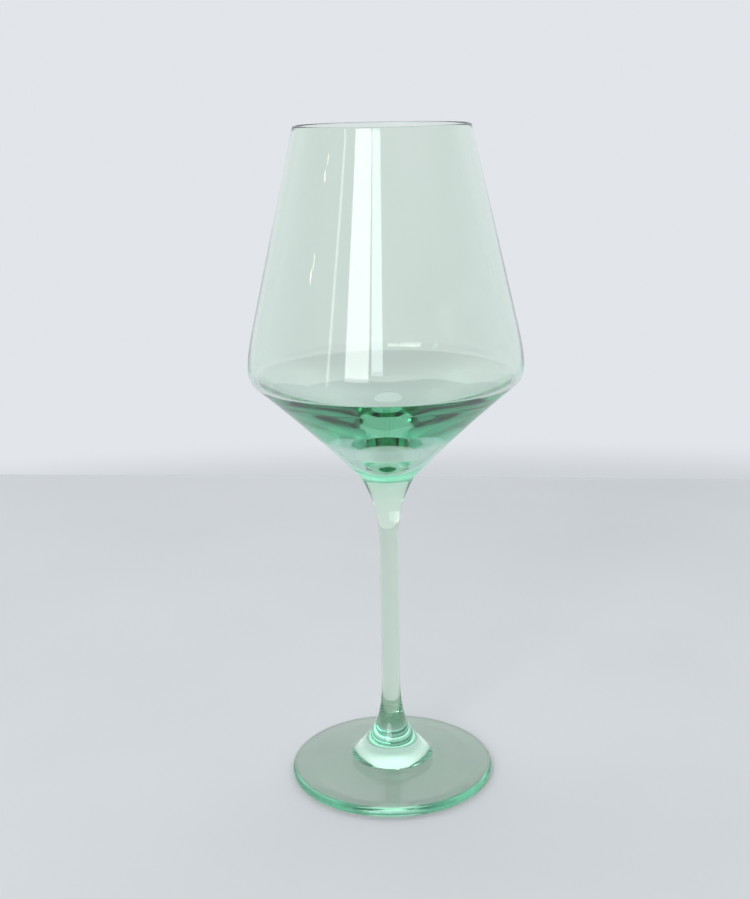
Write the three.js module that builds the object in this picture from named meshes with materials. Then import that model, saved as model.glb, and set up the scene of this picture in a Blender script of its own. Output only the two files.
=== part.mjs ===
// A long-stemmed wine glass: a blown bowl, a drawn solid stem and a turned foot, fused hot at
// two flat joints. Millimetres, +Z up, origin at the centre of the plane that the foot rests on.
// Every piece is a closed outline of [radius, height] points revolved round the Z axis.
import * as THREE from "three";

// Overall sizes.
const HEIGHT = 230;
const RIM_RADIUS = 29.1;
const STEM_RADIUS = 3.3;
const FOOT_RADIUS = 36.4;

// Bowl, outside: a straight tapered wall, a tight shoulder, and a cone down to the stem.
// SHOULDER is where the wall and the cone would meet unrounded, and CONE_HANDLE bends the cone.
const SHOULDER = [48.2, 148.8];
const CONE_HANDLE = [24.1, 127.8];

// Bowl, inside: a wall and a shoulder like those outside, a straight cone down to a bend, a
// curved cone below it, then a small round-bottomed pit. The inner cone is the shallower one,
// so the glass thickens towards the stem.
const RIM_WALL = 1.1;
const INNER_SHOULDER = [46.6, 148.9];
const INNER_BEND = [32.3, 139.1];
const INNER_CONE_UPPER = [26.6, 135.7];
const INNER_CONE_LOWER = [18.2, 131];
const PIT_EDGE = [11.7, 123.2];
const PIT_ROUND = 4.5;
const PIT_FLOOR = 116.9;

// How much of each straight run next to a shoulder is taken up by its rounding.
const WALL_ROUNDING = 0.19;
const CONE_ROUNDING = 0.11;
const INNER_CONE_ROUNDING = 0.2;

// Joints: the edges of the flat faces where two pieces are fused.
const BOWL_JOINT = [9.4, 111.65];
const FOOT_JOINT = [5.25, 19.5];

// Stem: a plain rod between two heights, with a flare above and below it, shaped by handles.
const ROD_TOP = 78;
const ROD_BOTTOM = 36;
const UPPER_FLARE_START = 98;
const UPPER_FLARE = [4.25, 101.5];
const LOWER_FLARE = [3.15, 26];

// Foot: hub, gently coned disc with a round edge, and the hollow underneath that leaves it
// standing on a ring. EDGE_MIDDLE is the height of its widest point, and EDGE_HIGH shapes the
// rounding between there and EDGE_TOP.
const HUB_FLARE = [8.2, 12.1];
const HUB_BASE = [14.9, 6.7];
const EDGE_TOP = [34.2, 3.3];
const EDGE_HIGH = 2.9;
const EDGE_MIDDLE = 1.5;
const REST_OUTER = 35.4;
const REST_INNER = 29.4;
const HOLLOW_HEIGHT = 3.2;
const HOLLOW_FLAT = 8;

// Faceting.
const WIDE_SEGMENTS = 56;
const STEM_SEGMENTS = 32;
const CURVE_STEPS = 6;
const SAME_POINT = 1e-4;

const glass = () =>
  new THREE.MeshStandardMaterial({
    color: new THREE.Color(0.68, 0.87, 0.77),
    roughness: 0.03,
    metalness: 0,
    transparent: true,
    opacity: 0.4,
  });

const between = ([r0, z0], [r1, z1], share) => [r0 + (r1 - r0) * share, z0 + (z1 - z0) * share];

function revolve(name, path, segments) {
  const outline = path
    .getPoints(CURVE_STEPS)
    .filter((point, i, all) => i === 0 || point.distanceTo(all[i - 1]) > SAME_POINT);
  const geometry = new THREE.LatheGeometry(outline, segments);
  geometry.rotateX(Math.PI / 2);
  const mesh = new THREE.Mesh(geometry, glass());
  mesh.name = name;
  return mesh;
}

// The bowl's outline runs from the joint up the outside, over the lip and down the inside.
function bowl() {
  const lipCentre = [RIM_RADIUS - RIM_WALL / 2, HEIGHT - RIM_WALL / 2];
  const outerRim = [RIM_RADIUS, lipCentre[1]];
  const innerRim = [RIM_RADIUS - RIM_WALL, lipCentre[1]];
  const coneTop = between(SHOULDER, CONE_HANDLE, CONE_ROUNDING);
  const innerConeTop = between(INNER_SHOULDER, INNER_BEND, INNER_CONE_ROUNDING);

  const outline = new THREE.Path();
  outline.moveTo(0, BOWL_JOINT[1]);
  outline.lineTo(...BOWL_JOINT);
  outline.bezierCurveTo(...BOWL_JOINT, ...CONE_HANDLE, ...coneTop);
  outline.quadraticCurveTo(...SHOULDER, ...between(SHOULDER, outerRim, WALL_ROUNDING));
  outline.lineTo(...outerRim);
  outline.absarc(...lipCentre, RIM_WALL / 2, 0, Math.PI, false);
  outline.lineTo(...between(INNER_SHOULDER, innerRim, WALL_ROUNDING));
  outline.quadraticCurveTo(...INNER_SHOULDER, ...innerConeTop);
  outline.lineTo(...INNER_BEND);
  outline.bezierCurveTo(...INNER_CONE_UPPER, ...INNER_CONE_LOWER, ...PIT_EDGE);
  outline.quadraticCurveTo(PIT_ROUND, PIT_FLOOR, 0, PIT_FLOOR);
  return revolve("bowl", outline, WIDE_SEGMENTS);
}

// The stem's outline runs from the joint with the foot up to the joint with the bowl.
function stem() {
  const outline = new THREE.Path();
  outline.moveTo(0, FOOT_JOINT[1]);
  outline.lineTo(...FOOT_JOINT);
  outline.quadraticCurveTo(...LOWER_FLARE, STEM_RADIUS, ROD_BOTTOM);
  outline.lineTo(STEM_RADIUS, ROD_TOP);
  outline.bezierCurveTo(STEM_RADIUS, UPPER_FLARE_START, ...UPPER_FLARE, ...BOWL_JOINT);
  outline.lineTo(0, BOWL_JOINT[1]);
  return revolve("stem", outline, STEM_SEGMENTS);
}

// The foot's outline runs from the hollow underneath, round the edge and up the hub.
function foot() {
  const outline = new THREE.Path();
  outline.moveTo(0, HOLLOW_HEIGHT);
  outline.quadraticCurveTo(HOLLOW_FLAT, HOLLOW_HEIGHT, REST_INNER, 0);
  outline.lineTo(REST_OUTER, 0);
  outline.quadraticCurveTo(FOOT_RADIUS, 0, FOOT_RADIUS, EDGE_MIDDLE);
  outline.quadraticCurveTo(FOOT_RADIUS, EDGE_HIGH, ...EDGE_TOP);
  outline.lineTo(...HUB_BASE);
  outline.quadraticCurveTo(...HUB_FLARE, ...FOOT_JOINT);
  outline.lineTo(0, FOOT_JOINT[1]);
  return revolve("foot", outline, WIDE_SEGMENTS);
}

const wineGlass = new THREE.Group();
wineGlass.add(foot(), stem(), bowl());

export default wineGlass;
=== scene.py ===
import math

import bpy
from mathutils import Matrix, Vector


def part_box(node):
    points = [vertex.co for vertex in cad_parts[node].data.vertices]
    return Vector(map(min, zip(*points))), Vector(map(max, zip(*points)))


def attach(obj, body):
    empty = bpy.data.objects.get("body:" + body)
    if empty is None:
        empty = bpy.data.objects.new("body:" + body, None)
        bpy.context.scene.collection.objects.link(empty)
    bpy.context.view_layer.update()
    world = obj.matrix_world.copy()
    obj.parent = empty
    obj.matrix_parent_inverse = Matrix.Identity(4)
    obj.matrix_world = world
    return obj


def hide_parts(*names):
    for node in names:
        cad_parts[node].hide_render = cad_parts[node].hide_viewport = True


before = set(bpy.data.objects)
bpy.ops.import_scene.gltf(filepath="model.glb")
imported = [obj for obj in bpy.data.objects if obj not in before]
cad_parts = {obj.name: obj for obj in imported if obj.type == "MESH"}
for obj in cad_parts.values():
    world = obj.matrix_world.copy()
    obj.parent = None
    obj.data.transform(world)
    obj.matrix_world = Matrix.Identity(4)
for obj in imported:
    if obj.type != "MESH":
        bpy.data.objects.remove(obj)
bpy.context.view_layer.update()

MM = 0.001

# Sizes that the frame gives.
RIM_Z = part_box("bowl")[1][2]
BOWL_JOINT_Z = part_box("bowl")[0][2]
FOOT_JOINT_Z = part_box("foot")[1][2]
FOOT_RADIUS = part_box("foot")[1][0]


def mm(*points):
    return [Vector((r * MM, z * MM)) for r, z in points]


# Outline points, as (radius, height).
RIM_RADIUS = 29.1 * MM
RIM_WALL = 1.1 * MM
SHOULDER, CONE_HANDLE = mm((48.2, 148.8), (24.1, 127.8))
INNER_SHOULDER, INNER_BEND = mm((46.6, 148.9), (32.3, 139.1))
INNER_CONE_UPPER, INNER_CONE_LOWER = mm((26.6, 135.7), (18.2, 131.0))
PIT_EDGE, PIT_ROUND, PIT_FLOOR = mm((11.7, 123.2), (4.5, 116.9), (0, 116.9))
INNER_CONE_ROUNDING = 0.2
BOWL_JOINT = Vector((9.4 * MM, BOWL_JOINT_Z))
FOOT_JOINT = Vector((5.25 * MM, FOOT_JOINT_Z))
ROD_TOP, ROD_BOTTOM = mm((3.3, 78), (3.3, 36))
UPPER_FLARE_START, UPPER_FLARE, LOWER_FLARE = mm((3.3, 98), (4.25, 101.5), (3.15, 26))
HUB_FLARE, HUB_BASE = mm((8.2, 12.1), (14.9, 6.7))
EDGE_LOW, EDGE_HIGH, EDGE_TOP = mm((36.4, 0), (36.4, 2.9), (34.2, 3.3))
EDGE_MIDDLE = 1.5 * MM
REST_OUTER, REST_INNER = mm((35.4, 0), (29.4, 0))
HOLLOW, HOLLOW_TOP = mm((8, 3.2), (0, 3.2))
WALL_ROUNDING = 0.19
CONE_ROUNDING = 0.11

# A hairline between pieces, so that two joint faces never share one plane.
JOINT_GAP = 0.02 * MM

# Fineness, and what counts as being on the axis, as level and as a sharp edge.
SEGMENTS = 192
CURVE_STEPS = 40
ROUND_STEPS = 14
ON_AXIS = 1e-9
LEVEL = 1e-7
SHARP_ANGLE = math.radians(35)


def line(a, b, steps=1):
    return [a.lerp(b, i / steps) for i in range(1, steps + 1)]


def quadratic(a, handle, b, steps=CURVE_STEPS):
    points = []
    for i in range(1, steps + 1):
        t = i / steps
        points.append(a.lerp(handle, t).lerp(handle.lerp(b, t), t))
    return points


def cubic(a, h1, h2, b, steps=CURVE_STEPS):
    points = []
    for i in range(1, steps + 1):
        t = i / steps
        p, q, r = a.lerp(h1, t), h1.lerp(h2, t), h2.lerp(b, t)
        points.append(p.lerp(q, t).lerp(q.lerp(r, t), t))
    return points


def bowl_outline():
    lip_z = RIM_Z - RIM_WALL / 2
    outer_rim = Vector((RIM_RADIUS, lip_z))
    inner_rim = Vector((RIM_RADIUS - RIM_WALL, lip_z))
    cone_top = SHOULDER.lerp(CONE_HANDLE, CONE_ROUNDING)
    wall_low = SHOULDER.lerp(outer_rim, WALL_ROUNDING)
    inner_wall_low = INNER_SHOULDER.lerp(inner_rim, WALL_ROUNDING)
    inner_cone_top = INNER_SHOULDER.lerp(INNER_BEND, INNER_CONE_ROUNDING)
    points = [Vector((0, BOWL_JOINT_Z)), BOWL_JOINT]
    points += cubic(BOWL_JOINT, BOWL_JOINT, CONE_HANDLE, cone_top, 2 * CURVE_STEPS)
    points += quadratic(cone_top, SHOULDER, wall_low)
    points += line(wall_low, outer_rim, CURVE_STEPS)
    lip = Vector((RIM_RADIUS - RIM_WALL / 2, lip_z))
    for i in range(1, ROUND_STEPS + 1):
        turn = math.pi * i / ROUND_STEPS
        points.append(lip + RIM_WALL / 2 * Vector((math.cos(turn), math.sin(turn))))
    points += line(inner_rim, inner_wall_low, CURVE_STEPS)
    points += quadratic(inner_wall_low, INNER_SHOULDER, inner_cone_top)
    points += line(inner_cone_top, INNER_BEND, CURVE_STEPS)
    points += cubic(INNER_BEND, INNER_CONE_UPPER, INNER_CONE_LOWER, PIT_EDGE, 2 * CURVE_STEPS)
    points += quadratic(PIT_EDGE, PIT_ROUND, PIT_FLOOR)
    return points


def stem_outline():
    low, high = FOOT_JOINT + Vector((0, JOINT_GAP)), BOWL_JOINT - Vector((0, JOINT_GAP))
    points = [Vector((0, low.y)), low]
    points += quadratic(low, LOWER_FLARE, ROD_BOTTOM)
    points += line(ROD_BOTTOM, ROD_TOP, CURVE_STEPS)
    points += cubic(ROD_TOP, UPPER_FLARE_START, UPPER_FLARE, high)
    points.append(Vector((0, high.y)))
    return points


def foot_outline():
    edge = Vector((FOOT_RADIUS, EDGE_MIDDLE))
    points = [HOLLOW_TOP]
    points += quadratic(HOLLOW_TOP, HOLLOW, REST_INNER)
    points += line(REST_INNER, REST_OUTER)
    points += quadratic(REST_OUTER, EDGE_LOW, edge)
    points += quadratic(edge, EDGE_HIGH, EDGE_TOP)
    points += line(EDGE_TOP, HUB_BASE, CURVE_STEPS)
    points += quadratic(HUB_BASE, HUB_FLARE, FOOT_JOINT)
    points.append(Vector((0, FOOT_JOINT.y)))
    return points


def revolve(name, outline, caps):
    """A closed surface of revolution. Faces that lie flat at a height in caps are joint faces."""
    vertices, faces, rings = [], [], []
    for p in outline:
        if p.x < ON_AXIS:
            rings.append([len(vertices)])
            vertices.append((0, 0, p.y))
            continue
        rings.append(list(range(len(vertices), len(vertices) + SEGMENTS)))
        for k in range(SEGMENTS):
            turn = 2 * math.pi * k / SEGMENTS
            vertices.append((p.x * math.cos(turn), p.x * math.sin(turn), p.y))
    for low, high in zip(rings, rings[1:]):
        for k in range(SEGMENTS):
            n = (k + 1) % SEGMENTS
            if len(low) == 1:
                faces.append((low[0], high[n], high[k]))
            elif len(high) == 1:
                faces.append((low[k], low[n], high[0]))
            else:
                faces.append((low[k], low[n], high[n], high[k]))
    mesh = bpy.data.meshes.new(name)
    mesh.from_pydata(vertices, [], faces)
    mesh.update()
    joint = mesh.attributes.new("joint", "FLOAT", "FACE")
    for face in mesh.polygons:
        face.use_smooth = True
        heights = [mesh.vertices[i].co.z for i in face.vertices]
        flat = max(heights) - min(heights) < LEVEL
        joint.data[face.index].value = float(flat and any(abs(heights[0] - c) < LEVEL for c in caps))
    mesh.set_sharp_from_angle(angle=SHARP_ANGLE)
    piece = bpy.data.objects.new(name, mesh)
    bpy.context.collection.objects.link(piece)
    return piece


def noise(nodes, links, scale, detail, stretch=(1, 1, 1)):
    """A noise that is fixed to the piece, stretched along its axes."""
    place = nodes.new("ShaderNodeTexCoord")
    mapping = nodes.new("ShaderNodeMapping")
    mapping.inputs["Scale"].default_value = stretch
    pattern = nodes.new("ShaderNodeTexNoise")
    pattern.inputs["Scale"].default_value = scale
    pattern.inputs["Detail"].default_value = detail
    links.new(place.outputs["Object"], mapping.inputs["Vector"])
    links.new(mapping.outputs["Vector"], pattern.inputs["Vector"])
    return pattern.outputs["Fac"]


def ranged(nodes, links, value, low, high, start=0.3, end=0.7):
    """Goes from low to high as the value goes from start to end."""
    node = nodes.new("ShaderNodeMapRange")
    node.inputs["From Min"].default_value = start
    node.inputs["From Max"].default_value = end
    node.inputs["To Min"].default_value = low
    node.inputs["To Max"].default_value = high
    links.new(value, node.inputs["Value"])
    return node.outputs["Result"]


# Sockets of a colour Mix node.
MIX_SHARE, MIX_FIRST, MIX_SECOND, MIX_RESULT = 0, 6, 7, 2


def mixed(nodes, links, share, first, second):
    """Goes from the colour first to the colour second as the share goes from 0 to 1."""
    mix = nodes.new("ShaderNodeMix")
    mix.data_type = "RGBA"
    links.new(share, mix.inputs[MIX_SHARE])
    for socket, colour in ((mix.inputs[MIX_FIRST], first), (mix.inputs[MIX_SECOND], second)):
        if isinstance(colour, tuple):
            socket.default_value = (*colour, 1)
        else:
            links.new(colour, socket)
    return mix.outputs[MIX_RESULT]


# Glass. The joint faces have the IOR of air, so that light passes straight through them.
GLASS_IOR = 1.5
JOINT_IOR = 1.0
TINT_PATCHES = 30
WORN_PATCHES = 140
WORN_ROUGHNESS = 0.012


def glass(name, thin, tint, density, colour, waves, wave_height, wave_stretch):
    """Clear glass: a faintly uneven tint, long soft waves from the forming, and a hint of dullness
    in patches where it has been handled and washed."""
    material = bpy.data.materials.new(name)
    material.use_nodes = True
    nodes, links = material.node_tree.nodes, material.node_tree.links
    shader = nodes["Principled BSDF"]
    shader.inputs["Transmission Weight"].default_value = 1.0

    patches = ranged(nodes, links, noise(nodes, links, TINT_PATCHES, 2, wave_stretch), 0, 1)
    links.new(mixed(nodes, links, patches, thin, tint), shader.inputs["Base Color"])

    worn = noise(nodes, links, WORN_PATCHES, 4)
    links.new(ranged(nodes, links, worn, 0, WORN_ROUGHNESS, 0.5, 0.8), shader.inputs["Roughness"])

    bump = nodes.new("ShaderNodeBump")
    bump.inputs["Strength"].default_value = 1.0
    bump.inputs["Distance"].default_value = wave_height
    links.new(noise(nodes, links, waves, 1, wave_stretch), bump.inputs["Height"])
    links.new(bump.outputs["Normal"], shader.inputs["Normal"])

    joint = nodes.new("ShaderNodeAttribute")
    joint.attribute_name = "joint"
    shader.inputs["IOR"].default_value = GLASS_IOR
    links.new(ranged(nodes, links, joint.outputs["Fac"], GLASS_IOR, JOINT_IOR, 0, 1), shader.inputs["IOR"])

    volume = nodes.new("ShaderNodeVolumeAbsorption")
    volume.inputs["Color"].default_value = (*colour, 1)
    volume.inputs["Density"].default_value = density
    links.new(volume.outputs["Volume"], nodes["Material Output"].inputs["Volume"])
    return material


def add_piece(name, node, outline, caps, material):
    piece = revolve(name, outline, caps)
    piece.data.materials.append(material)
    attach(piece, "root")
    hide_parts(node)


GREEN = (0.22, 0.80, 0.60)
BOWL_GLASS = glass(
    "bowl glass", thin=(0.962, 0.990, 0.955), tint=(0.942, 0.984, 0.928), density=30.0, colour=GREEN,
    waves=45, wave_height=0.00004, wave_stretch=(1, 1, 0.25),
)
STEM_GLASS = glass(
    "stem glass", thin=(0.960, 0.988, 0.900), tint=(0.940, 0.982, 0.865), density=30.0, colour=GREEN,
    waves=60, wave_height=0.00004, wave_stretch=(1, 1, 0.15),
)
FOOT_GLASS = glass(
    "foot glass", thin=(0.968, 1.0, 0.945), tint=(0.938, 1.0, 0.915), density=21.0, colour=GREEN,
    waves=70, wave_height=0.00005, wave_stretch=(0.35, 1.6, 1),
)

add_piece("bowl_glass", "bowl", bowl_outline(), [BOWL_JOINT_Z], BOWL_GLASS)
STEM_ENDS = [BOWL_JOINT_Z - JOINT_GAP, FOOT_JOINT_Z + JOINT_GAP]
add_piece("stem_glass", "stem", stem_outline(), STEM_ENDS, STEM_GLASS)
add_piece("foot_glass", "foot", foot_outline(), [FOOT_JOINT_Z], FOOT_GLASS)


CLOUD_PATCHES = 9
MATT_SPECULAR = 0.1


def plain(name, colour, shaded, roughness):
    """Pale matt paint with faint cloudy patches."""
    material = bpy.data.materials.new(name)
    material.use_nodes = True
    nodes, links = material.node_tree.nodes, material.node_tree.links
    shader = nodes["Principled BSDF"]
    clouds = ranged(nodes, links, noise(nodes, links, CLOUD_PATCHES, 2), 0, 1)
    links.new(mixed(nodes, links, clouds, colour, shaded), shader.inputs["Base Color"])
    shader.inputs["Roughness"].default_value = roughness
    shader.inputs["Specular IOR Level"].default_value = MATT_SPECULAR
    return material


TABLE = (0.93, 0.95, 0.955)
TABLE_SHADED = (0.90, 0.92, 0.93)
TABLE_ROUGHNESS = 0.7
TABLE_HALF_WIDTH = 1.5
TABLE_NEAR, TABLE_FAR = -1.2, 0.375
TABLE_TURN = math.radians(4.6)
TABLE_UNDERSIDE, TABLE_SURFACE = -0.03, -0.0001


def table_top(name, near, far, turn, material):
    """A slab whose far edge crosses the Y axis at far and is turned by that angle."""
    half = TABLE_HALF_WIDTH
    rise = half * math.tan(turn)
    corners = [(-half, near), (half, near), (half, far - rise), (-half, far + rise)]
    vertices = [(x, y, z) for z in (TABLE_UNDERSIDE, TABLE_SURFACE) for x, y in corners]
    faces = [(3, 2, 1, 0), (4, 5, 6, 7)] + [(k, (k + 1) % 4, (k + 1) % 4 + 4, k + 4) for k in range(4)]
    mesh = bpy.data.meshes.new(name)
    mesh.from_pydata(vertices, [], faces)
    obj = bpy.data.objects.new(name, mesh)
    obj.data.materials.append(material)
    bpy.context.collection.objects.link(obj)


table_paint = plain("table", TABLE, TABLE_SHADED, TABLE_ROUGHNESS)
table_top("table", TABLE_NEAR, TABLE_FAR, TABLE_TURN, table_paint)

# Round the table: a pale wall and ceiling behind the glass, and a dimmer room in front of it. Low on the
# wall the colour darkens a little, and more in a band where the wall meets the table: painted shade.
# The spans are of the direction's height (Z) or depth (Y), from -1 to 1.
WALL = (0.76, 0.785, 0.82)
WALL_FOOT_PAINTED_SHADE = (0.62, 0.65, 0.68)
WALL_LOW = (0.74, 0.765, 0.80)
CEILING = (1.35, 1.38, 1.41)
ROOM = (0.22, 0.23, 0.25)
WALL_SHADE_BAND_START, WALL_SHADE_BAND_END = -0.33, -0.29
WALL_START, WALL_END = -0.284, -0.255
CEILING_START, CEILING_END = 0.35, 0.75
ROOM_END, BACK_START = -0.26, 0.58


def studio():
    world = bpy.data.worlds.new("studio")
    bpy.context.scene.world = world
    world.use_nodes = True
    nodes, links = world.node_tree.nodes, world.node_tree.links
    direction = nodes.new("ShaderNodeTexCoord")
    axes = nodes.new("ShaderNodeSeparateXYZ")
    links.new(direction.outputs["Generated"], axes.inputs["Vector"])

    def fade(axis, start, end, first, second):
        """Goes from the colour first to the colour second along a span of the direction."""
        share = nodes.new("ShaderNodeMapRange")
        share.interpolation_type = "SMOOTHSTEP"
        share.inputs["From Min"].default_value = start
        share.inputs["From Max"].default_value = end
        links.new(axes.outputs[axis], share.inputs["Value"])
        return mixed(nodes, links, share.outputs["Result"], first, second)

    # Painted shade: the wall darkens low down, darkest in a band where it meets the table.
    low = fade("Z", WALL_SHADE_BAND_START, WALL_SHADE_BAND_END, WALL_LOW, WALL_FOOT_PAINTED_SHADE)
    wall = fade("Z", WALL_START, WALL_END, low, WALL)
    back = fade("Z", CEILING_START, CEILING_END, wall, CEILING)
    links.new(fade("Y", ROOM_END, BACK_START, ROOM, back), nodes["Background"].inputs["Color"])


studio()

LIGHT_TARGET = Vector((0, 0, 0.2))


def soft_light(name, place, width, height, power, colour=(1, 1, 1)):
    """A rectangular light that faces the glass."""
    light = bpy.data.lights.new(name, "AREA")
    light.shape = "RECTANGLE"
    light.size, light.size_y = width, height
    light.energy = power
    light.color = colour
    obj = bpy.data.objects.new(name, light)
    obj.location = place
    obj.rotation_euler = (LIGHT_TARGET - Vector(place)).to_track_quat("-Z", "Y").to_euler()
    bpy.context.collection.objects.link(obj)


soft_light("window", (-0.52, -1.2, 0.58), 0.46, 0.8, 5.2)
soft_light("window side pane", (-0.16, -1.29, 0.62), 0.22, 0.66, 1.8, (0.9, 0.96, 1))
soft_light("lamp", (-1.2, -0.45, 0.62), 0.02, 0.015, 0.02, (1, 0.85, 0.7))
soft_light("lower lamp", (-1.25, -0.38, 0.48), 0.02, 0.02, 0.025, (1, 0.85, 0.7))
soft_light("door gap", (-0.99, -0.91, 0.5), 0.05, 0.9, 0.35)

CAMERA_PLACE = (0, -0.445, 0.243)
PITCH, YAW, ROLL = math.radians(15.33), math.radians(-0.54), math.radians(-1.1)
SENSOR_WIDTH = 36
LENS = 53.62


def add_camera():
    camera = bpy.data.objects.new("camera", bpy.data.cameras.new("camera"))
    bpy.context.collection.objects.link(camera)
    camera.data.sensor_width = SENSOR_WIDTH
    camera.data.lens = LENS
    level = math.cos(PITCH)
    forward = Vector((math.sin(YAW) * level, math.cos(YAW) * level, -math.sin(PITCH)))
    side = Vector((math.cos(YAW), -math.sin(YAW), 0))
    above = side.cross(forward)
    right = side * math.cos(ROLL) + above * math.sin(ROLL)
    up = right.cross(forward)
    turned = Matrix((right, up, -forward)).transposed().to_4x4()
    camera.matrix_world = Matrix.Translation(CAMERA_PLACE) @ turned
    bpy.context.scene.camera = camera


add_camera()

# Enough bounces for light that is trapped in the thick glass to find its way out.
BOUNCES = 32
scene = bpy.context.scene
scene.view_settings.view_transform = "Standard"
scene.cycles.max_bounces = BOUNCES
scene.cycles.transmission_bounces = BOUNCES
scene.cycles.glossy_bounces = BOUNCES
